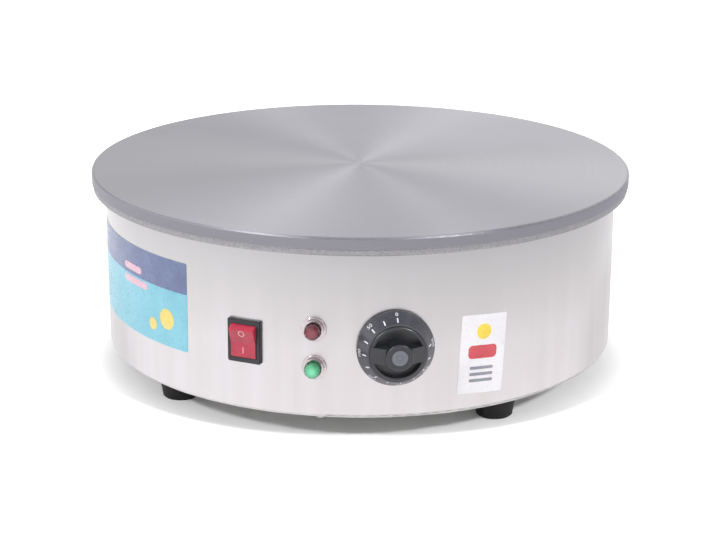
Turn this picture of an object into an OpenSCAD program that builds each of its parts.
// Electric crepe maker: a cast-iron griddle on a round stainless-steel drum.
// The drum holds two looped tubular heaters, a capillary thermostat, a mains switch
// and two pilot lamps, and it stands on four rubber feet.
// All sizes are in millimetres. The origin is on the table, on the drum's axis, with
// +Z up. The controls face -Y. Angles round the drum start there and grow towards +X.

/* [Griddle] */
// Diameter of the cooking plate
plate_d = 400; // [392:1:430]
// Thickness of the plate at its edge
plate_t = 13; // [12:0.5:18]
// Height of the turned band on the edge, above the as-cast one
plate_band_h = 8.3; // [6:0.1:9]
// How far the as-cast band stands back from the turned one
plate_band_step = 0.8; // [0.3:0.1:2]
// Rounding of the top edge
plate_edge_r = 1.5; // [0.5:0.1:3]
// Width of the locating ring cast under the plate
ring_w = 4.5; // [3:0.5:6]
// Depth of the locating ring
ring_h = 4; // [2:0.5:5]
// Number of radial ribs under the plate
rib_count = 6; // [3, 6]
// Width of a rib
rib_w = 6; // [4:0.5:9]
// Radius of the middle hub that the ribs meet
hub_r = 16; // [12:1:22]

/* [Drum] */
// Outer diameter of the drum
drum_d = 380; // [372:1:386]
// Height of the drum
drum_h = 117; // [112:1:140]
// Sheet thickness of the drum and the heat shield
sheet_t = 1; // [0.8:0.1:1.4]
// Outer radius of the sheet's bends
bend_r = 2; // [1.6:0.1:4]
// Width of the flange that the plate rests on
top_flange_w = 12; // [9:0.5:14]
// Width of the flange that the base cover is screwed to
bottom_flange_w = 14; // [12:0.5:20]

/* [Base] */
// Thickness of the base cover
cover_t = 1.2; // [1:0.1:2]
// How far the base cover's edge stands back from the drum
cover_inset = 3; // [2:0.5:5]
// Number of screws that hold the base cover
cover_screw_count = 6; // [4:1:8]
// Number of ventilation slots in the base cover
vent_count = 24; // [12:4:28]
// Length of a ventilation slot
vent_l = 32; // [16:1:50]
// Width of a ventilation slot
vent_w = 3.6; // [2.6:0.1:3.8]
// Radius of the ring of ventilation slots, at their middles
vent_r = 108; // [80:1:115]

/* [Feet] */
// Height of a rubber foot
foot_h = 18.8; // [14:0.2:30]
// Diameter of a foot where it meets the base cover
foot_top_d = 31; // [26:1:36]
// Diameter of a foot where it meets the table
foot_bottom_d = 26; // [22:1:36]
// Diameter of the circle that the feet stand on
foot_pcd = 322; // [290:2:326]
// Depth of the foot's screw pocket
foot_pocket_h = 8; // [6:0.5:10]

/* [Rocker switch] */
// Angle of the switch round the drum
switch_az = -15.7; // [-22:0.1:-14]
// Height of the switch above the drum's lower edge
switch_h = 49.3; // [40:0.1:60]
// Width of the switch's bezel
bezel_w = 25; // [24:0.5:28]
// Height of the switch's bezel
bezel_l = 31; // [30:0.5:34]
// Thickness of the switch's bezel
bezel_t = 2.2; // [1.5:0.1:3]
// Width of the hole in the drum for the switch
switch_hole_w = 22; // [21.5:0.1:23]
// Height of the hole in the drum for the switch
switch_hole_l = 28; // [27.5:0.1:29]
// Depth of the switch's body behind the drum's face
switch_depth = 18; // [17:0.5:26]
// Width of the rocker
rocker_w = 18.4; // [15:0.1:18.6]
// Radius of the rocker's ends about its pin
rocker_r = 12.3; // [11:0.1:12.4]
// How far the rocker's pin lies behind the bezel's face
rocker_pin_depth = 4; // [3:0.1:5]
// Radius of the rocker's pins
rocker_pin_r = 1.5; // [1:0.1:2]
// Half of the angle that the rocker tips through, and the slope of its two faces
rocker_tilt = 10; // [6:0.5:12]

/* [Pilot lamps] */
// Angle of the lamps round the drum
lamp_az = -0.8; // [-2:0.1:2]
// Height of the green lamp above the drum's lower edge
green_lamp_h = 35.5; // [28:0.1:40]
// Distance between the two lamps
lamp_pitch = 27.2; // [24:0.1:34]
// Radius of the lamp's body
lamp_body_r = 4.9; // [4:0.1:5.5]
// Depth of the lamp's body behind the drum's face
lamp_depth = 22; // [14:0.5:30]
// Radius of the chrome bezel's flange
lamp_flange_r = 8.5; // [8.2:0.1:11]
// Thickness of the chrome bezel's flange
lamp_flange_t = 1.5; // [1:0.1:2.5]
// Height of the chrome bezel's collar
lamp_collar_h = 4.6; // [3:0.1:7]
// Wall of the chrome bezel's collar
lamp_collar_t = 1.2; // [0.8:0.1:1.6]
// Radius of the lens
lens_r = 5.7; // [5.6:0.1:6]
// How far the lens stands out of the drum
lens_h = 11.2; // [9:0.1:14]
// Number of flats cut on the lens
lens_flats = 10; // [6:1:12]

/* [Knob] */
// Angle of the knob round the drum
knob_az = 15.7; // [15:0.1:22]
// Height of the knob above the drum's lower edge
knob_h = 50.3; // [42:0.1:60]
// Radius of the dial skirt at the drum
skirt_r = 26.5; // [25:0.5:28]
// Radius of the dial skirt's front edge
skirt_front_r = 20.5; // [20.2:0.1:21.5]
// How far the dial skirt stands out of the drum
skirt_h = 13; // [12:0.5:14]
// Wall of the dial skirt
skirt_t = 2; // [1.5:0.1:2.2]
// Gap between the drum and the turning skirt
skirt_gap = 0.8; // [0.5:0.1:1.5]
// Radius of the grip that sits in the skirt
grip_r = 19.3; // [18.2:0.1:19.6]
// How far the grip's rim stands out of the drum
grip_h = 14.6; // [14.2:0.1:17]
// Wall of the grip's rim
grip_wall = 2.2; // [1.6:0.1:3]
// How far the floor of the finger pockets lies out of the drum
pocket_floor_h = 9.5; // [8.5:0.5:10.5]
// Width of the finger bar across the grip
bar_w = 11; // [8:0.5:14]
// Radius of the middle boss
boss_r = 9.3; // [8:0.1:10]
// How far the middle boss stands out of the drum
boss_h = 22.5; // [21:0.5:26]
// Radius of the metal disc in the boss
cap_r = 5.4; // [4:0.1:6.5]
// Thickness of the metal disc
cap_t = 0.9; // [0.6:0.1:1.5]

/* [Thermostat] */
// Width and height of the thermostat's case
case_w = 40; // [36:1:44]
// Depth of the thermostat's case
case_d = 26; // [20:1:32]
// Width of the thermostat's mounting plate
mount_w = 16; // [12:1:24]
// Distance between the two mounting screws
mount_pitch = 28; // [26:0.5:30]
// Radius of the spindle
spindle_r = 3; // [2.5:0.1:3.5]
// Distance from the spindle's axis to its flat
spindle_flat = 2.3; // [1.8:0.1:2.4]
// Radius of the bush round the spindle
bush_r = 5; // [4.4:0.1:6]
// Radius of the sensing bulb
bulb_r = 3.1; // [2.5:0.1:3.2]
// Length of the sensing bulb
bulb_l = 60; // [40:1:66]
// Radius of the capillary tube
capillary_r = 1; // [0.6:0.1:1.2]

/* [Heaters] */
// Radius of a heater's tube
tube_r = 4.25; // [3.8:0.05:4.5]
// Depth of the groove that seats the tube in the plate
seat_depth = 2.5; // [1.5:0.1:3]
// Distance from the locating ring to the outer turn of the outer heater
heater_inset = 22; // [21:0.5:24]
// Distance between the two turns of the outer heater
outer_pitch = 30; // [28:1:34]
// Distance between the two heaters
pair_gap = 35; // [34:1:38]
// Distance between the two turns of the inner heater
inner_pitch = 33; // [28:1:36]
// Half of the angle that the outer heater leaves open
outer_open = 15; // [14:1:20]
// Half of the angle that the inner heater leaves open
inner_open = 25; // [24:1:32]
// Radius of the bend into each leg
leg_bend_r = 8; // [6:0.5:9]
// How far the legs reach below the heat shield
leg_reach = 9; // [8:0.5:14]

/* [Insulation] */
// Thickness of the plate that clamps the heaters
clamp_t = 2; // [1.5:0.1:3]
// Thickness of the insulation blanket
blanket_t = 20; // [12:1:26]
// Radius of the clamp studs
stud_r = 4; // [3:0.5:5]
// Width of a retaining clip
clip_w = 30; // [20:1:40]
// Thickness of a retaining clip
clip_t = 2; // [1.5:0.1:3]

/* [Cord inlet] */
// Height of the cord gland above the drum's lower edge
gland_h = 32; // [28:1:60]
// Radius of the cord hole in the seal
cord_r = 4.5; // [3.5:0.1:5.5]
// Radius of the gland's threaded barrel
gland_r = 9.9; // [9.5:0.1:11]
// How far the gland's cap stands out of the drum
gland_reach = 18; // [17:0.5:22]

/* [Clearances] */
// Radial clearance of a turning pin or shaft in its hole
run_gap = 0.05; // [0.02:0.01:0.1]
// Clearance between a piece and the hole or recess that it sits in
fit_gap = 0.15; // [0.1:0.05:0.3]
// Gap between a flat or curved piece and the curved wall that it is drawn up to
wall_gap = 0.05; // [0.03:0.01:0.15]
// Clearance between the rocker and its housing
rocker_gap = 0.3; // [0.2:0.05:0.4]

/* [Hidden] */
$fn = 96;
eps = 0.01;
joint_swell = 0.04;

// Fastener sizes: thread radius, then head or nut radius and height
m3 = [1.5, 2.7, 1.8];
m4 = [2, 3.5, 2.2];
m5 = [2.5, 5, 3.2];
m5_nut = [4.6, 4];
stud_nut = [stud_r * 1.87, stud_r * 1.6];
thread_gap = 0.05;

// Radii and levels
plate_r = plate_d / 2;
drum_r = drum_d / 2;
wall_r = drum_r - sheet_t;
drum_z0 = foot_h + cover_t;
drum_z1 = drum_z0 + drum_h;
plate_z1 = drum_z1 + plate_t;
ring_gap = 1.5;
ring_out_r = drum_r - top_flange_w - ring_gap;
ring_in_r = ring_out_r - ring_w;
plate_rough_r = plate_r - plate_band_step;

// Heater turns, from the outside in, and the levels of what hangs under the plate
turn1_r = ring_in_r - heater_inset;
turn2_r = turn1_r - outer_pitch;
turn3_r = turn2_r - pair_gap;
turn4_r = turn3_r - inner_pitch;
heater_z = drum_z1 + seat_depth - tube_r - fit_gap;
clamp_z1 = heater_z - tube_r - 0.1;
clamp_z0 = clamp_z1 - clamp_t;
clamp_r = ring_in_r - 2;
rib_z0 = clamp_z1 + 0.25;
blanket_z0 = clamp_z0 - blanket_t;
shield_z0 = blanket_z0 - sheet_t;
stud_boss_r = stud_r + 3;
stud_ring_r = ring_in_r - stud_boss_r - 2;
stud_az = [45, 135, 225, 315];
stud_hole_z1 = drum_z1 + 5;
clip_z0 = shield_z0 - clip_t;
clip_leg_r = ring_out_r + 3.5;
leg_hole_r = tube_r + 1.2;
slot_half_w = tube_r + 0.8;
leg_z0 = shield_z0 - leg_reach;
bush_collar_t = 4;
pin_l = 12;
stud_z0 = clip_z0 - stud_nut[1] - 3;
bulb_y = -(turn2_r + turn3_r) / 2;
clip_strap_t = 0.8;
clip_hole_y = bulb_r + clip_strap_t + 4;
bulb_z = clamp_z1 + 0.05 + clip_strap_t + 0.1 + bulb_r;
capillary_x = bulb_l / 2 + 12;

// Base
cover_r = drum_r - cover_inset;
cover_screw_r = drum_r - bottom_flange_w / 2 - 1.5;
cover_screw_az = [for (i = [0:cover_screw_count - 1]) i * 360 / cover_screw_count];
foot_az = [-45, 45, -135, 135];

// Levels and places on the control panel
switch_z = drum_z0 + switch_h;
green_lamp_z = drum_z0 + green_lamp_h;
red_lamp_z = green_lamp_z + lamp_pitch;
knob_z = drum_z0 + knob_h;
gland_z = drum_z0 + gland_h;
switch_body_w = switch_hole_w - 4 * fit_gap;
switch_body_l = switch_hole_l - 4 * fit_gap;
rocker_pin_z = wall_gap + bezel_t - rocker_pin_depth;
blade = [6.3, 0.8, 8];
switch_blade_x = 5;
switch_blade_y = 9;
lamp_hole_r = lamp_body_r + fit_gap;
lamp_nut_r = lamp_body_r + 3;
lamp_blade = [0.8, 3, 7];
lamp_blade_x = 2.4;
bush_hole_r = bush_r + fit_gap;

// Knob: a web in the skirt carries the grip, and a hub takes the spindle
web_z = 4.5;
web_t = 2;
web_hole_r = 12;
grip_z0 = web_z + web_t;
hub_r_out = spindle_r + 3;
hub_z0 = skirt_gap + 1.8;
cap_recess = cap_t - 0.2;
spindle_z1 = boss_h - 6;

// Cord gland
gland_flange_h = 4.5;
gland_thread_h = 10;
gland_tail = 10;
gland_grip_r = gland_r + 3.2;
gland_nut_h = 5;
seal_z0 = 4.2;
seal_z1 = gland_thread_h + 0.8;
seal_r = gland_r - 1.7;

// Terminal block, earth stud and wiring
block = [56, 20, 17];
block_inset = 40;
block_y = drum_r - block_inset;
block_end_y = block_y - block[1] / 2;
block_pole_x = 20;
block_pole_z = 8;
pole_z = drum_z0 + block_pole_z;
block_screw_x = 10;
earth_x = 48;
earth_h = 14;
lead_r = 1.5;
lamp_lead_r = 1;
lead_end_gap = 0.05;
lead_z = drum_z0 + 16;
lead_turn_az = 150;
lead_stand = 14;
link_z = leg_z0 - pin_l - 3.5;

// Distance from the drum's face in to its inner wall, half_w to one side of the middle
function inner_depth(half_w) = drum_r - sqrt(wall_r * wall_r - half_w * half_w);
// Distance that the drum's face falls back, half_w to one side of the middle
function outer_fall(half_w) = drum_r - sqrt(drum_r * drum_r - half_w * half_w);
// A point of the panel's frame (right, up, out) as a point of the whole model
function panel_point(az, z, p) = [
    (drum_r + p[2]) * sin(az) + p[0] * cos(az),
    -(drum_r + p[2]) * cos(az) + p[0] * sin(az),
    z + p[1]
];
// A point at an angle from the front, as everything round the drum is placed
function round_point(r, az, z) = [r * sin(az), -r * cos(az), z];
// Where the leg of a heater turn comes down, seen from above
function leg_point(r, open) = let (a = 90 + open) [
    r * cos(a) + leg_bend_r * sin(a),
    r * sin(a) - leg_bend_r * cos(a)
];
legs = [
    leg_point(turn1_r, outer_open), leg_point(turn2_r, outer_open),
    leg_point(turn3_r, inner_open), leg_point(turn4_r, inner_open)
];
mount_z = -inner_depth(case_w / 2) - wall_gap;
mount_t = 1.5;
case_z1 = mount_z - mount_t;
case_z0 = case_z1 - case_d;
thermostat_blade_x = 12;
thermostat_blade_y = -8;

// The leads run round the drum in two rings, behind the blades of the thermostat
blade_end = case_z0 - blade[2] - lead_end_gap;
switch_blade_end = -switch_depth - blade[2] - lead_end_gap;
lead_ring_r = drum_r + case_z0 - blade[2] - 4.4;
lead_inner_ring_r = lead_ring_r - 4;

// Colours
cast_iron = [0.42, 0.42, 0.44];
stainless = [0.83, 0.83, 0.85];
zinc = [0.72, 0.72, 0.7];
rubber = [0.07, 0.07, 0.08];
black_plastic = [0.13, 0.13, 0.15];
brass = [0.78, 0.62, 0.3];

// ---- Shared shapes ----

// Puts its children on the drum's face: X to the right, Y up, Z straight out
module on_panel(az, z) {
    rotate([0, 0, az]) translate([0, -drum_r, z]) rotate([90, 0, 0]) children();
}

// Copies its children to the foot corners or any other list of angles from the front
module round_drum(angles, r) {
    for (a = angles) rotate([0, 0, a]) translate([0, -r, 0]) children();
}

// The four outer studs and the one in the middle
module at_studs() {
    round_drum(stud_az, stud_ring_r) children();
    children();
}

module round_rect(w, h, r) {
    square([w - 2 * r, h], center = true);
    square([w, h - 2 * r], center = true);
    for (x = [-1, 1], y = [-1, 1]) translate([x * (w / 2 - r), y * (h / 2 - r)]) circle(r);
}

// Half section from x0 out to x1 with its two outer corners rounded
module section_block(x0, x1, z0, z1, r) {
    translate([x0, z0]) square([x1 - r - x0, z1 - z0]);
    translate([x0, z0 + r]) square([x1 - x0, z1 - z0 - 2 * r]);
    for (z = [z0 + r, z1 - r]) translate([x1 - r, z]) circle(r);
}

module ring(r_out, r_in, h) {
    difference() {
        cylinder(h = h, r = r_out);
        translate([0, 0, -eps]) cylinder(h = h + 2 * eps, r = r_in);
    }
}

// A hexagonal nut, r_out across its corners
module hex_nut(r_out, r_in, h) {
    difference() {
        cylinder(h = h, r = r_out, $fn = 6);
        translate([0, 0, -eps]) cylinder(h = h + 2 * eps, r = r_in);
    }
}

// A pan-head screw with its head on top of z = 0 and its shank below
module pan_screw(size, length) {
    rotate_extrude() {
        translate([0, -length]) square([size[0], length + eps]);
        square([size[1], size[2] - 0.8]);
        square([size[1] - 0.8, size[2]]);
        translate([size[1] - 0.8, size[2] - 0.8]) intersection() {
            circle(0.8);
            square(0.8);
        }
    }
}

module rod(a, b, r) {
    v = b - a;
    translate(a) rotate([0, acos(v[2] / norm(v)), atan2(v[1], v[0])]) cylinder(h = norm(v), r = r);
}

// The ball that joins two stretches of a wire or a tube, a hair thicker than both
module joint(point, r) translate(point) sphere(r + joint_swell);

// A wire through a list of points, with a joint in each bend
module wire(points, r) {
    for (i = [0:len(points) - 2]) rod(points[i], points[i + 1], r);
    for (i = [1:len(points) - 2]) joint(points[i], r);
}

// ---- Griddle ----

// One heater: two turns joined by a U-bend, with both ends bent down into legs
module heater_path(r_out, r_in, open, r, z0) {
    rb = (r_out - r_in) / 2;
    rotate([0, 0, 90]) translate([0, 0, heater_z]) {
        for (turn = [r_out, r_in])
            rotate([0, 0, open]) rotate_extrude(angle = 360 - 2 * open) translate([turn, 0]) circle(r);
        rotate([0, 0, -open]) {
            translate([r_in + rb, 0, 0]) rotate_extrude(angle = 180) translate([rb, 0]) circle(r);
            for (turn = [r_out, r_in]) joint([turn, 0, 0], r);
        }
        for (turn = [r_out, r_in]) rotate([0, 0, open]) translate([turn, 0, -leg_bend_r]) {
            rotate([90, 0, 90]) rotate([0, 0, 90])
                rotate_extrude(angle = 90) translate([leg_bend_r, 0]) circle(r);
            translate([0, -leg_bend_r, z0 - heater_z + leg_bend_r])
                cylinder(h = heater_z - leg_bend_r - z0, r = r);
        }
    }
}

module griddle_plate() color(cast_iron) {
    rib_h = drum_z1 - rib_z0;
    difference() {
        union() {
            rotate_extrude() {
                translate([0, drum_z1]) square([plate_rough_r - 1, plate_t - plate_edge_r]);
                translate([0, drum_z1 + 1]) square([plate_rough_r, plate_t - plate_edge_r - 1]);
                translate([plate_rough_r - 1, drum_z1 + 1]) circle(1);
                translate([0, plate_z1 - plate_band_h]) square([plate_r, plate_band_h - plate_edge_r]);
                translate([0, plate_z1 - plate_edge_r - eps])
                    square([plate_r - plate_edge_r, plate_edge_r + eps]);
                translate([plate_r - plate_edge_r, plate_z1 - plate_edge_r]) circle(plate_edge_r);
                translate([ring_in_r, drum_z1 - ring_h]) square([ring_w, ring_h + 1]);
            }
            translate([0, 0, rib_z0]) cylinder(h = rib_h + 1, r = hub_r);
            for (i = [0:rib_count - 1]) rotate([0, 0, i * 360 / rib_count])
                translate([0, -rib_w / 2, rib_z0]) cube([ring_in_r + 1, rib_w, rib_h + 1]);
            round_drum(stud_az, stud_ring_r) translate([0, 0, rib_z0])
                cylinder(h = rib_h + 1, r = stud_boss_r);
        }
        // Straight-sided channels let the heaters into the ribs from below
        for (turn = [turn1_r, turn2_r, turn3_r, turn4_r]) translate([0, 0, rib_z0 - 1])
            ring(turn + tube_r + fit_gap, turn - tube_r - fit_gap, heater_z - rib_z0 + 1);
        heater_path(turn1_r, turn2_r, outer_open, tube_r + fit_gap, heater_z - leg_bend_r - 1);
        heater_path(turn3_r, turn4_r, inner_open, tube_r + fit_gap, heater_z - leg_bend_r - 1);
        translate([-bulb_l / 2 - 4, bulb_y, bulb_z]) rotate([0, 90, 0])
            cylinder(h = bulb_l + 20, r = bulb_r + fit_gap);
        for (y = [-1, 1]) translate([0, bulb_y + y * clip_hole_y, drum_z1 - 1])
            cylinder(h = 6, r = m3[0] + thread_gap);
        at_studs() translate([0, 0, rib_z0 - 1])
            cylinder(h = stud_hole_z1 - rib_z0 + 1, r = stud_r + thread_gap);
    }
}

// ---- Drum ----

module drum_shell() color(stainless) difference() {
    rotate_extrude() difference() {
        section_block(drum_r - max(top_flange_w, bottom_flange_w), drum_r, drum_z0, drum_z1, bend_r);
        section_block(0, wall_r, drum_z0 + sheet_t, drum_z1 - sheet_t, bend_r - sheet_t);
        translate([0, drum_z1 - bend_r]) square([drum_r - top_flange_w, bend_r + 1]);
        translate([0, drum_z0 - 1]) square([drum_r - bottom_flange_w, bend_r + 1]);
    }
    on_panel(switch_az, switch_z) cube([switch_hole_w, switch_hole_l, 12], center = true);
    for (z = [green_lamp_z, red_lamp_z])
        on_panel(lamp_az, z) cylinder(h = 12, r = lamp_hole_r, center = true);
    on_panel(knob_az, knob_z) {
        cylinder(h = 12, r = bush_hole_r, center = true);
        for (x = [-1, 1]) translate([x * mount_pitch / 2, 0, 0])
            cylinder(h = 12, r = m4[0] + fit_gap, center = true);
    }
    on_panel(180, gland_z) cylinder(h = 12, r = gland_r + fit_gap, center = true);
    round_drum(cover_screw_az, cover_screw_r) translate([0, 0, drum_z0 - 1])
        cylinder(h = sheet_t + 2, r = m4[0] + thread_gap);
}

// ---- Base ----

module base_cover() color(zinc) difference() {
    translate([0, 0, foot_h]) cylinder(h = cover_t, r = cover_r);
    for (i = [0:vent_count - 1]) rotate([0, 0, (i + 0.5) * 360 / vent_count])
        translate([vent_r, 0, foot_h - 1]) {
            cube([vent_l - vent_w, vent_w, 2 * (cover_t + 2)], center = true);
            for (x = [-1, 1]) translate([x * (vent_l - vent_w) / 2, 0, 0])
                cylinder(h = cover_t + 2, r = vent_w / 2);
        }
    round_drum(foot_az, foot_pcd / 2) translate([0, 0, foot_h - 1])
        cylinder(h = cover_t + 2, r = m5[0] + fit_gap);
    round_drum(cover_screw_az, cover_screw_r) translate([0, 0, foot_h - 1])
        cylinder(h = cover_t + 2, r = m4[0] + fit_gap);
    for (x = [-1, 1]) translate([x * block_screw_x, block_y, foot_h - 1])
        cylinder(h = cover_t + 2, r = m3[0] + thread_gap);
    translate([earth_x, block_y, foot_h - 1]) cylinder(h = cover_t + 2, r = m4[0] + thread_gap);
}

module base_cover_screws() color(zinc)
    round_drum(cover_screw_az, cover_screw_r) translate([0, 0, foot_h]) mirror([0, 0, 1])
        pan_screw(m4, cover_t + sheet_t + 4);

module foot(az) color(rubber) round_drum([az], foot_pcd / 2) difference() {
    rotate_extrude() polygon([
        [0, 0], [foot_bottom_d / 2 - 1.2, 0], [foot_bottom_d / 2, 1.2],
        [foot_top_d / 2, foot_h - 2], [foot_top_d / 2, foot_h], [0, foot_h]
    ]);
    translate([0, 0, -1]) cylinder(h = foot_pocket_h + 1, r = m5[1] + 1.5);
    cylinder(h = foot_h + 1, r = m5[0] + fit_gap);
}

module foot_front_left() foot(foot_az[0]);
module foot_front_right() foot(foot_az[1]);
module foot_rear_left() foot(foot_az[2]);
module foot_rear_right() foot(foot_az[3]);

module foot_screws() color(zinc)
    round_drum(foot_az, foot_pcd / 2) translate([0, 0, foot_pocket_h]) mirror([0, 0, 1])
        pan_screw(m5, drum_z0 - foot_pocket_h + m5_nut[1] + 2);

module foot_nuts() color(zinc)
    round_drum(foot_az, foot_pcd / 2) translate([0, 0, drum_z0])
        hex_nut(m5_nut[0], m5[0] + thread_gap, m5_nut[1]);

// ---- Rocker switch ----

module switch_housing() color(black_plastic) on_panel(switch_az, switch_z) difference() {
    union() {
        translate([0, 0, wall_gap]) linear_extrude(bezel_t - 0.6) round_rect(bezel_w, bezel_l, 1.5);
        translate([0, 0, wall_gap + bezel_t - 0.6 - eps])
            linear_extrude(0.6 + eps) round_rect(bezel_w - 1.2, bezel_l - 1.2, 1);
        translate([-switch_body_w / 2, -switch_body_l / 2, -switch_depth])
            cube([switch_body_w, switch_body_l, switch_depth + bezel_t / 2]);
    }
    translate([0, 0, rocker_pin_z]) rotate([0, 90, 0]) {
        cylinder(h = rocker_w + 2 * rocker_gap, r = rocker_r + rocker_gap, center = true);
        cylinder(h = switch_body_w + 2, r = rocker_pin_r + run_gap, center = true);
    }
}

// Side view of the rocker with its two faces sloping in to the middle
module rocker_side() {
    mid = (rocker_pin_depth + 1) / cos(rocker_tilt);
    tip = mid + rocker_r * tan(rocker_tilt);
    intersection() {
        circle(rocker_r);
        polygon([
            [-rocker_r, -3], [-4, -3], [-2, -7], [2, -7], [4, -3], [rocker_r, -3],
            [rocker_r, tip], [0, mid], [-rocker_r, tip]
        ]);
    }
}

module switch_rocker() color([0.75, 0.16, 0.2]) on_panel(switch_az, switch_z)
    translate([0, 0, rocker_pin_z]) rotate([rocker_tilt, 0, 0]) {
        rotate([90, 0, 90]) translate([0, 0, -rocker_w / 2]) linear_extrude(rocker_w) rocker_side();
        rotate([0, 90, 0]) cylinder(h = switch_body_w - 0.4, r = rocker_pin_r, center = true);
    }

// A push-on blade that stands on z = 0
module flat_blade() translate([-blade[1] / 2, -blade[0] / 2, 0]) cube([blade[1], blade[0], blade[2]]);

module switch_terminals() color(brass) on_panel(switch_az, switch_z)
    for (x = [-1, 1], y = [-1, 1])
        translate([x * switch_blade_x, y * switch_blade_y, -switch_depth - blade[2]]) flat_blade();

// ---- Pilot lamps ----

module lamp_bezel(z) color([0.85, 0.85, 0.87]) on_panel(lamp_az, z) translate([0, 0, wall_gap])
    rotate_extrude() difference() {
        union() {
            square([lamp_flange_r - 0.5, lamp_flange_t]);
            square([lamp_flange_r, lamp_flange_t - 0.5]);
            translate([lamp_flange_r - 0.5, lamp_flange_t - 0.5]) circle(0.5);
            square([lens_r + fit_gap + lamp_collar_t, lamp_collar_h - 0.4]);
            square([lens_r + fit_gap + lamp_collar_t - 0.4, lamp_collar_h]);
        }
        translate([-eps, -1]) square([lens_r + fit_gap + eps, lamp_collar_h + 2]);
    }

// A round foot, a flat-sided barrel and a bevelled front, all in one moulding
module lamp_lens(z, tint) color(tint) on_panel(lamp_az, z) {
    barrel_r = lens_r - 0.25;
    bevel = lens_h * 0.2;
    translate([0, 0, wall_gap]) cylinder(h = lamp_collar_h - 0.6, r = lens_r);
    translate([0, 0, lamp_collar_h - 1])
        cylinder(h = lens_h - lamp_collar_h + 1 - bevel, r = barrel_r, $fn = lens_flats);
    translate([0, 0, lens_h - bevel - eps])
        cylinder(h = bevel, r1 = barrel_r, r2 = barrel_r - bevel * 0.8, $fn = lens_flats);
}

module lamp_body(z) color(black_plastic) on_panel(lamp_az, z) {
    translate([0, 0, -lamp_depth]) cylinder(h = lamp_depth, r = lamp_body_r);
    for (x = [-1, 1]) translate([x * lamp_blade_x, 0, -lamp_depth - lamp_blade[2]])
        translate([-lamp_blade[0] / 2, -lamp_blade[1] / 2, 0]) cube(lamp_blade + [0, 0, eps]);
}

module red_lamp_bezel() lamp_bezel(red_lamp_z);
module red_lamp_lens() lamp_lens(red_lamp_z, [0.6, 0.12, 0.18]);
module red_lamp_body() lamp_body(red_lamp_z);
module green_lamp_bezel() lamp_bezel(green_lamp_z);
module green_lamp_lens() lamp_lens(green_lamp_z, [0.15, 0.75, 0.45]);
module green_lamp_body() lamp_body(green_lamp_z);

module lamp_nuts() color(zinc) for (z = [red_lamp_z, green_lamp_z])
    on_panel(lamp_az, z) translate([0, 0, -inner_depth(lamp_nut_r) - wall_gap - 3])
        hex_nut(lamp_nut_r, lamp_body_r + thread_gap, 3);

// ---- Knob ----

// The cone that carries the scale, with a flat web that the grip stands on
module dial_skirt() color(black_plastic) on_panel(knob_az, knob_z) rotate_extrude() {
    slope = (skirt_r - skirt_front_r) / (skirt_h - skirt_gap - skirt_t);
    web_r = skirt_r - (grip_z0 - skirt_gap - skirt_t) * slope - skirt_t / 2;
    polygon([
        [skirt_r, skirt_gap], [skirt_r, skirt_gap + skirt_t], [skirt_front_r, skirt_h],
        [grip_r + fit_gap, skirt_h], [grip_r + fit_gap, grip_z0], [web_hole_r, grip_z0],
        [web_hole_r, web_z], [web_r, web_z], [skirt_r - skirt_t, skirt_gap]
    ]);
}

// Round rim, two finger pockets with a bar between them, and a boss in the middle
module knob_grip() color(black_plastic) on_panel(knob_az, knob_z) difference() {
    union() {
        difference() {
            rotate_extrude() {
                translate([0, grip_z0]) square([grip_r, grip_h - 1.5 - grip_z0]);
                translate([0, grip_z0]) square([grip_r - 1.5, grip_h - grip_z0]);
                translate([grip_r - 1.5, grip_h - 1.5]) circle(1.5);
            }
            translate([0, 0, pocket_floor_h]) cylinder(h = grip_h, r = grip_r - grip_wall);
        }
        intersection() {
            translate([0, bar_w / 2, 0]) rotate([90, 0, 0]) linear_extrude(bar_w) polygon([
                [-grip_r, pocket_floor_h - 1], [grip_r, pocket_floor_h - 1], [grip_r, grip_h - 0.6],
                [boss_r, boss_h - 3], [-boss_r, boss_h - 3], [-grip_r, grip_h - 0.6]
            ]);
            cylinder(h = boss_h, r = grip_r - grip_wall / 2);
        }
        rotate_extrude() {
            translate([0, pocket_floor_h - 1]) square([boss_r, boss_h - pocket_floor_h]);
            translate([0, pocket_floor_h]) square([boss_r - 1, boss_h - pocket_floor_h]);
            translate([boss_r - 1, boss_h - 1]) circle(1);
        }
        translate([0, 0, hub_z0]) cylinder(h = pocket_floor_h - hub_z0, r = hub_r_out);
    }
    translate([0, 0, boss_h - cap_recess]) cylinder(h = 2, r = cap_r + fit_gap);
    translate([0, 0, grip_z0 - 1]) ring(grip_r - grip_wall, hub_r_out, pocket_floor_h - grip_z0 - 0.5);
    translate([0, 0, hub_z0 - 1]) linear_extrude(spindle_z1 - hub_z0 + 1.5) spindle_section(run_gap);
}

module knob_cap() color([0.6, 0.6, 0.63]) on_panel(knob_az, knob_z)
    translate([0, 0, boss_h - cap_recess]) cylinder(h = cap_t, r = cap_r);

// ---- Thermostat ----

module spindle_section(gap) intersection() {
    circle(spindle_r + gap);
    translate([-spindle_r - 1, -spindle_r - 1])
        square([2 * spindle_r + 2, spindle_r + 1 + spindle_flat + gap]);
}

module thermostat_spindle() color(zinc) on_panel(knob_az, knob_z) {
    translate([0, 0, case_z1 - 4]) cylinder(h = hub_z0 - 0.5 - case_z1 + 4, r = spindle_r);
    translate([0, 0, hub_z0 - 0.5 - eps]) linear_extrude(spindle_z1 - hub_z0 + 0.5) spindle_section(0);
}

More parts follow.
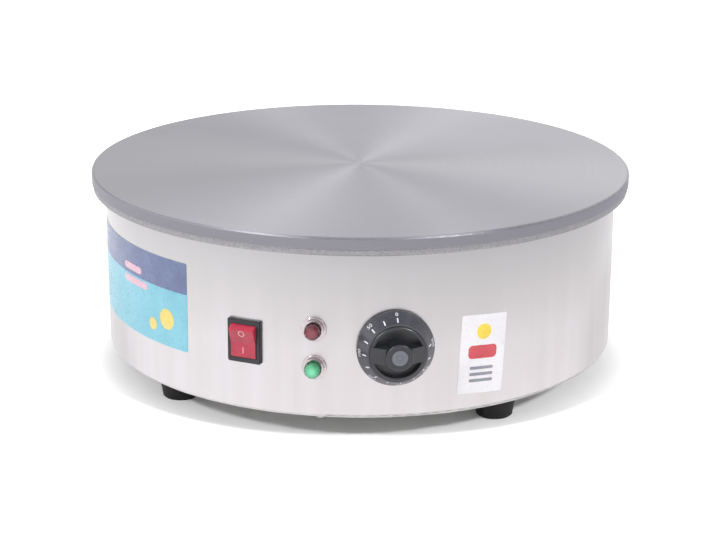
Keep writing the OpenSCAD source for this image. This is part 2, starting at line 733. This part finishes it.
module thermostat_mount() color(zinc) on_panel(knob_az, knob_z) difference() {
    union() {
        translate([-case_w / 2, -mount_w / 2, case_z1]) cube([case_w, mount_w, mount_t]);
        translate([0, 0, case_z1]) cylinder(h = 1.5 - case_z1, r = bush_r);
    }
    translate([0, 0, case_z1 - 1]) cylinder(h = 4 - case_z1, r = spindle_r + run_gap);
    for (x = [-1, 1]) translate([x * mount_pitch / 2, 0, case_z1 - 1])
        cylinder(h = mount_t + 2, r = m4[0] + thread_gap);
}

module thermostat_case() color([0.55, 0.4, 0.3]) on_panel(knob_az, knob_z) difference() {
    translate([0, 0, case_z0]) linear_extrude(case_d) round_rect(case_w, case_w, 3);
    translate([0, 0, case_z1 - 4.5]) cylinder(h = 5, r = spindle_r + 0.5);
}

module thermostat_terminals() color(brass) on_panel(knob_az, knob_z)
    for (x = [-1, 1])
        translate([x * thermostat_blade_x, thermostat_blade_y, case_z0 - blade[2]]) flat_blade();

module thermostat_screws() color(zinc) on_panel(knob_az, knob_z)
    for (x = [-1, 1]) translate([x * mount_pitch / 2, 0, -outer_fall(mount_pitch / 2 - m4[1]) + wall_gap])
        pan_screw(m4, -case_z1 - outer_fall(mount_pitch / 2 - m4[1]));

module sensing_bulb() color([0.75, 0.5, 0.35]) translate([-bulb_l / 2, bulb_y, bulb_z]) rotate([0, 90, 0]) {
    translate([0, 0, 1.5]) cylinder(h = bulb_l - 3, r = bulb_r);
    cylinder(h = 1.5 + eps, r1 = bulb_r - 1.2, r2 = bulb_r);
    translate([0, 0, bulb_l - 1.5 - eps]) cylinder(h = 1.5 + eps, r1 = bulb_r, r2 = bulb_r - 1.2);
}

module capillary_tube() color([0.75, 0.5, 0.35]) {
    end = panel_point(knob_az, knob_z, [0, 12, case_z0 - 0.1]);
    turn_z = shield_z0 - 14;
    wire([
        [bulb_l / 2, bulb_y, bulb_z], [capillary_x, bulb_y, bulb_z], [capillary_x, bulb_y, turn_z],
        panel_point(knob_az, turn_z, [0, 0, case_z0 - 10]),
        panel_point(knob_az, knob_z, [0, 12, case_z0 - 10]), end
    ], capillary_r);
}

module bulb_clip() color(zinc) difference() {
    saddle_r = bulb_r + 0.1;
    top = drum_z1 - bulb_z;
    translate([-6, bulb_y, bulb_z]) rotate([90, 0, 90]) linear_extrude(12) difference() {
        union() {
            circle(saddle_r + clip_strap_t);
            translate([-saddle_r - clip_strap_t, 0]) square([2 * (saddle_r + clip_strap_t), top]);
            translate([-clip_hole_y - 3.5, top - clip_strap_t]) square([2 * clip_hole_y + 7, clip_strap_t]);
        }
        circle(saddle_r);
        translate([-saddle_r, 0]) square([2 * saddle_r, top + saddle_r + 1]);
        translate([-clip_hole_y, top]) square([2 * clip_hole_y, saddle_r + 1]);
    }
    for (y = [-1, 1]) translate([0, bulb_y + y * clip_hole_y, drum_z1 - 4])
        cylinder(h = 6, r = m3[0] + thread_gap);
}

module bulb_clip_screws() color(zinc) for (y = [-1, 1])
    translate([0, bulb_y + y * clip_hole_y, drum_z1 - clip_strap_t]) mirror([0, 0, 1]) pan_screw(m3, 5);

// ---- Heaters and what clamps them ----

module outer_heater() color([0.3, 0.3, 0.28]) heater_path(turn1_r, turn2_r, outer_open, tube_r, leg_z0);
module inner_heater() color([0.3, 0.3, 0.28]) heater_path(turn3_r, turn4_r, inner_open, tube_r, leg_z0);

module at_legs() for (p = legs) translate([p[0], p[1], 0]) children();

module heater_bushes() color([0.93, 0.91, 0.86]) at_legs() difference() {
    union() {
        translate([0, 0, shield_z0 - bush_collar_t]) cylinder(h = bush_collar_t, r = leg_hole_r + 3);
        translate([0, 0, shield_z0 - eps]) cylinder(h = sheet_t + 3, r = leg_hole_r - 0.15);
    }
    translate([0, 0, shield_z0 - bush_collar_t - 1])
        cylinder(h = bush_collar_t + sheet_t + 6, r = tube_r + fit_gap);
}

module heater_terminals() color(brass) at_legs() {
    translate([0, 0, leg_z0 - pin_l]) cylinder(h = pin_l, r = m4[0]);
    translate([0, 0, leg_z0 - pin_l / 2]) cylinder(h = 3, r = 4, $fn = 6);
}

// Holes that the studs, the heater legs and the capillary share
module under_plate_holes(z0, h, leg_r) {
    at_studs() translate([0, 0, z0 - 1]) cylinder(h = h + 2, r = stud_r + 0.5);
    at_legs() translate([0, 0, z0 - 1]) cylinder(h = h + 2, r = leg_r);
    translate([capillary_x, bulb_y, z0 - 1]) cylinder(h = h + 2, r = capillary_r + 2);
}

// Room above each leg's hole for the bend, which reaches below the clamp plate
module bend_slots(z0, h) {
    turns = [[turn1_r, outer_open], [turn2_r, outer_open], [turn3_r, inner_open], [turn4_r, inner_open]];
    for (turn = turns) rotate([0, 0, 90 + turn[1]]) translate([turn[0] - slot_half_w, -leg_bend_r, z0])
        cube([2 * slot_half_w, leg_bend_r + 2, h]);
}

module clamp_plate() color(zinc) difference() {
    translate([0, 0, clamp_z0]) cylinder(h = clamp_t, r = clamp_r);
    under_plate_holes(clamp_z0, clamp_t, leg_hole_r);
    bend_slots(clamp_z0 - 1, clamp_t + 2);
}

module insulation_blanket() color([0.95, 0.94, 0.9]) difference() {
    translate([0, 0, blanket_z0]) cylinder(h = blanket_t, r = clamp_r - sheet_t - 0.5);
    under_plate_holes(blanket_z0, blanket_t, leg_hole_r);
    bend_slots(clamp_z0 - leg_bend_r, leg_bend_r + 1);
}

module heat_shield() color(zinc) difference() {
    translate([0, 0, shield_z0]) cylinder(h = clamp_z0 - shield_z0, r = clamp_r);
    translate([0, 0, blanket_z0]) cylinder(h = blanket_t + 1, r = clamp_r - sheet_t);
    under_plate_holes(shield_z0, sheet_t, leg_hole_r);
}

module plate_studs() color(zinc) at_studs()
    translate([0, 0, stud_z0]) cylinder(h = stud_hole_z1 - stud_z0 - 0.5, r = stud_r);

module stud_nuts() color(zinc) {
    round_drum(stud_az, stud_ring_r) translate([0, 0, clip_z0 - stud_nut[1]])
        hex_nut(stud_nut[0], stud_r + thread_gap, stud_nut[1]);
    translate([0, 0, shield_z0 - stud_nut[1]]) hex_nut(stud_nut[0], stud_r + thread_gap, stud_nut[1]);
}

// Z-shaped straps hook under the drum's top flange and draw the plate down on it
module retaining_clips() color(zinc) round_drum(stud_az, 0) difference() {
    translate([-clip_w / 2, 0, 0]) rotate([90, 0, 90]) linear_extrude(clip_w) polygon([
        [-(stud_ring_r - 9), clip_z0], [-(stud_ring_r - 9), shield_z0], [-(clip_leg_r - clip_t), shield_z0],
        [-(clip_leg_r - clip_t), drum_z1 - sheet_t], [-(clip_leg_r + 4), drum_z1 - sheet_t],
        [-(clip_leg_r + 4), drum_z1 - sheet_t - clip_t], [-clip_leg_r, drum_z1 - sheet_t - clip_t],
        [-clip_leg_r, clip_z0]
    ]);
    translate([0, -stud_ring_r, clip_z0 - 1]) cylinder(h = clip_t + 2, r = stud_r + 0.5);
}

// ---- Wiring ----

module terminal_block() color([0.9, 0.9, 0.86]) difference() {
    translate([-block[0] / 2, block_end_y, drum_z0]) cube(block);
    for (x = [-1, 0, 1]) translate([x * block_pole_x, block_y, pole_z]) {
        rotate([90, 0, 0]) cylinder(h = block[1] + 2, r = 3, center = true);
        cylinder(h = block[2], r = 2.4);
    }
    for (x = [-1, 1]) translate([x * block_screw_x, block_y, drum_z0 - 1])
        cylinder(h = block[2] + 2, r = m3[0] + fit_gap);
}

module terminal_block_screws() color(zinc) for (x = [-1, 1])
    translate([x * block_screw_x, block_y, drum_z0 + block[2]]) pan_screw(m3, block[2] + cover_t);

module earth_stud() color(brass) translate([earth_x, block_y, drum_z0]) {
    translate([0, 0, -cover_t]) cylinder(h = cover_t + earth_h, r = m4[0]);
    cylinder(h = 3.2, r = 4.2, $fn = 6);
}

// A stretch of wire round the drum, from one angle to another
module wire_round(r, az0, az1, z, t) {
    translate([0, 0, z]) rotate([0, 0, min(az0, az1) - 90])
        rotate_extrude(angle = abs(az1 - az0)) translate([r, 0]) circle(t);
}

// Mains from one pole of the block, round the left side and up to the switch's blade at x
module supply_lead(r, x, pole_x) {
    end_az = switch_az + atan(x / r);
    blade_y = -switch_blade_y + 1.2;
    turn = round_point(r, -lead_turn_az, lead_z);
    wire([
        [pole_x, block_end_y - lead_end_gap, pole_z], [pole_x, turn[1], pole_z],
        [turn[0], turn[1], pole_z], turn
    ], lead_r);
    joint(turn, lead_r);
    wire_round(r, -lead_turn_az, end_az, lead_z, lead_r);
    joint(round_point(r, end_az, lead_z), lead_r);
    wire([
        round_point(r, end_az, lead_z), round_point(r, end_az, switch_z + blade_y),
        panel_point(switch_az, switch_z, [x, blade_y, switch_blade_end])
    ], lead_r);
}

module supply_lead_live() color([0.35, 0.22, 0.12])
    supply_lead(lead_ring_r, -switch_blade_x, -block_pole_x);
module supply_lead_neutral() color([0.15, 0.3, 0.6])
    supply_lead(lead_inner_ring_r, switch_blade_x, 0);

// Switched live, from the switch to the thermostat
module thermostat_lead() color([0.1, 0.1, 0.1]) {
    az0 = switch_az + atan(switch_blade_x / lead_ring_r);
    az1 = knob_az - atan(thermostat_blade_x / lead_ring_r);
    z = switch_z + switch_blade_y;
    wire([
        panel_point(switch_az, switch_z, [switch_blade_x, switch_blade_y, switch_blade_end]),
        round_point(lead_ring_r, az0, z)
    ], lead_r);
    joint(round_point(lead_ring_r, az0, z), lead_r);
    wire_round(lead_ring_r, az0, az1, z, lead_r);
    joint(round_point(lead_ring_r, az1, z), lead_r);
    wire([
        round_point(lead_ring_r, az1, z),
        round_point(lead_ring_r, az1, knob_z + thermostat_blade_y),
        panel_point(knob_az, knob_z, [-thermostat_blade_x, thermostat_blade_y, blade_end])
    ], lead_r);
}

// A point on the axis of one leg
function leg_top(i, z) = [legs[i][0], legs[i][1], z];

// Thermostat to the first and third legs, and neutral to the second and fourth
module heater_leads() color([0.75, 0.15, 0.12]) {
    az0 = knob_az + atan(thermostat_blade_x / lead_ring_r);
    az1 = lead_turn_az;
    pin_z = leg_z0 - pin_l - lead_end_gap;
    neutral_x = block_pole_x - 1;
    wire([
        panel_point(knob_az, knob_z, [thermostat_blade_x, thermostat_blade_y, blade_end]),
        round_point(lead_ring_r, az0, knob_z + thermostat_blade_y),
        round_point(lead_ring_r, az0, lead_z)
    ], lead_r);
    joint(round_point(lead_ring_r, az0, lead_z), lead_r);
    wire_round(lead_ring_r, az0, az1, lead_z, lead_r);
    joint(round_point(lead_ring_r, az1, lead_z), lead_r);
    wire([
        round_point(lead_ring_r, az1, lead_z), round_point(lead_ring_r, az1, link_z),
        leg_top(0, link_z), leg_top(0, pin_z)
    ], lead_r);
    wire([leg_top(0, link_z), leg_top(2, link_z), leg_top(2, pin_z)], lead_r);
    wire([
        [neutral_x, block_end_y - lead_end_gap, pole_z],
        [neutral_x, block_end_y - lead_stand, pole_z],
        [neutral_x, block_end_y - lead_stand, link_z],
        leg_top(1, link_z), leg_top(1, pin_z)
    ], lead_r);
    wire([leg_top(1, link_z), leg_top(3, link_z), leg_top(3, pin_z)], lead_r);
}

// Lamps to the switch on the left, joined to each other and to neutral on the right
module lamp_leads() color([0.85, 0.85, 0.8]) {
    back = -lamp_depth - lamp_blade[2];
    over_z = red_lamp_z + 4;
    turn = round_point(lead_inner_ring_r, lead_turn_az, lead_z);
    neutral_x = block_pole_x + 2.2;
    drop = panel_point(lamp_az, green_lamp_z, [lamp_blade_x, 0, back - 5]);
    drop_az = atan2(drop[0], -drop[1]);
    wire([
        panel_point(lamp_az, red_lamp_z, [-lamp_blade_x, 0, back - lead_end_gap]),
        panel_point(lamp_az, red_lamp_z, [-lamp_blade_x, 0, back - 5]),
        panel_point(lamp_az, over_z, [-lamp_blade_x, 0, back - 5]),
        panel_point(switch_az, over_z, [-switch_blade_x, 0, back - 5]),
        panel_point(switch_az, switch_z, [-switch_blade_x, switch_blade_y, back - 5]),
        panel_point(switch_az, switch_z, [-switch_blade_x, switch_blade_y, switch_blade_end])
    ], lamp_lead_r);
    wire([
        panel_point(lamp_az, green_lamp_z, [-lamp_blade_x, 0, back - lead_end_gap]),
        panel_point(lamp_az, green_lamp_z, [-lamp_blade_x, 0, back - 5]),
        panel_point(switch_az, green_lamp_z, [-switch_blade_x, 0, back - 5]),
        panel_point(switch_az, switch_z, [-switch_blade_x, -switch_blade_y - 2.2, back - 5]),
        panel_point(switch_az, switch_z, [-switch_blade_x, -switch_blade_y - 2.2, switch_blade_end])
    ], lamp_lead_r);
    wire([
        panel_point(lamp_az, red_lamp_z, [lamp_blade_x, 0, back - lead_end_gap]),
        panel_point(lamp_az, red_lamp_z, [lamp_blade_x, 0, back - 5]), drop,
        panel_point(lamp_az, green_lamp_z, [lamp_blade_x, 0, back - lead_end_gap])
    ], lamp_lead_r);
    wire([
        drop, [drop[0], drop[1], lead_z + 6], round_point(lead_inner_ring_r, drop_az, lead_z + 6),
        round_point(lead_inner_ring_r, drop_az, lead_z)
    ], lamp_lead_r);
    joint(round_point(lead_inner_ring_r, drop_az, lead_z), lamp_lead_r);
    wire_round(lead_inner_ring_r, drop_az, lead_turn_az, lead_z, lamp_lead_r);
    joint(turn, lamp_lead_r);
    wire([
        turn, [neutral_x, turn[1], lead_z], [neutral_x, turn[1], pole_z],
        [neutral_x, block_end_y - lead_end_gap, pole_z]
    ], lamp_lead_r);
}

// Bonds the earth stud to the rear right retaining clip, and so to the plate
module earth_lead() color([0.4, 0.65, 0.2]) {
    end = panel_point(stud_az[1], clip_z0, [clip_w / 2 - 4, 0, stud_ring_r - 3 - drum_r]);
    run_z = drum_z0 + earth_h + 22;
    wire([
        [earth_x, block_y, drum_z0 + earth_h + lead_end_gap], [earth_x, block_y, run_z],
        [end[0], end[1], run_z], end - [0, 0, lead_end_gap]
    ], lead_r);
}

// ---- Cord gland ----

module gland_body() color(black_plastic) on_panel(180, gland_z) difference() {
    tail_z = -inner_depth(gland_r) - gland_tail;
    union() {
        translate([0, 0, tail_z]) cylinder(h = gland_thread_h - tail_z, r = gland_r);
        translate([0, 0, wall_gap]) cylinder(h = gland_flange_h, r = gland_grip_r, $fn = 6);
    }
    translate([0, 0, tail_z - 1]) cylinder(h = seal_z0 - tail_z + 2, r = cord_r + 1);
    translate([0, 0, seal_z0]) cylinder(h = gland_thread_h, r = seal_r);
}

module gland_seal() color(rubber) on_panel(180, gland_z) translate([0, 0, seal_z0])
    ring(seal_r - fit_gap, cord_r, seal_z1 - seal_z0);

module gland_cap() color(black_plastic) on_panel(180, gland_z) rotate_extrude() difference() {
    union() {
        translate([0, gland_flange_h + 1]) square([gland_r + 2.2, gland_reach - gland_flange_h - 5]);
        translate([0, gland_flange_h + 1]) square([gland_r - 1.8, gland_reach - gland_flange_h - 1]);
        translate([gland_r - 1.8, gland_reach - 4]) intersection() {
            circle(4);
            square(4);
        }
    }
    translate([-eps, 0]) square([gland_r + fit_gap, seal_z1 + fit_gap]);
    translate([-eps, 0]) square([cord_r + 0.6, gland_reach + 1]);
}

module gland_nut() color(black_plastic) on_panel(180, gland_z)
    translate([0, 0, -inner_depth(gland_grip_r) - wall_gap - gland_nut_h])
        hex_nut(gland_grip_r, gland_r + thread_gap, gland_nut_h);

griddle_plate();
drum_shell();
base_cover();
base_cover_screws();
foot_front_left();
foot_front_right();
foot_rear_left();
foot_rear_right();
foot_screws();
foot_nuts();
switch_housing();
switch_rocker();
switch_terminals();
red_lamp_bezel();
red_lamp_lens();
red_lamp_body();
green_lamp_bezel();
green_lamp_lens();
green_lamp_body();
lamp_nuts();
dial_skirt();
knob_grip();
knob_cap();
thermostat_spindle();
thermostat_mount();
thermostat_case();
thermostat_terminals();
thermostat_screws();
capillary_tube();
sensing_bulb();
bulb_clip();
bulb_clip_screws();
outer_heater();
inner_heater();
heater_bushes();
heater_terminals();
clamp_plate();
insulation_blanket();
heat_shield();
plate_studs();
stud_nuts();
retaining_clips();
terminal_block();
terminal_block_screws();
earth_stud();
supply_lead_live();
supply_lead_neutral();
thermostat_lead();
heater_leads();
lamp_leads();
earth_lead();
gland_body();
gland_cap();
gland_seal();
gland_nut();
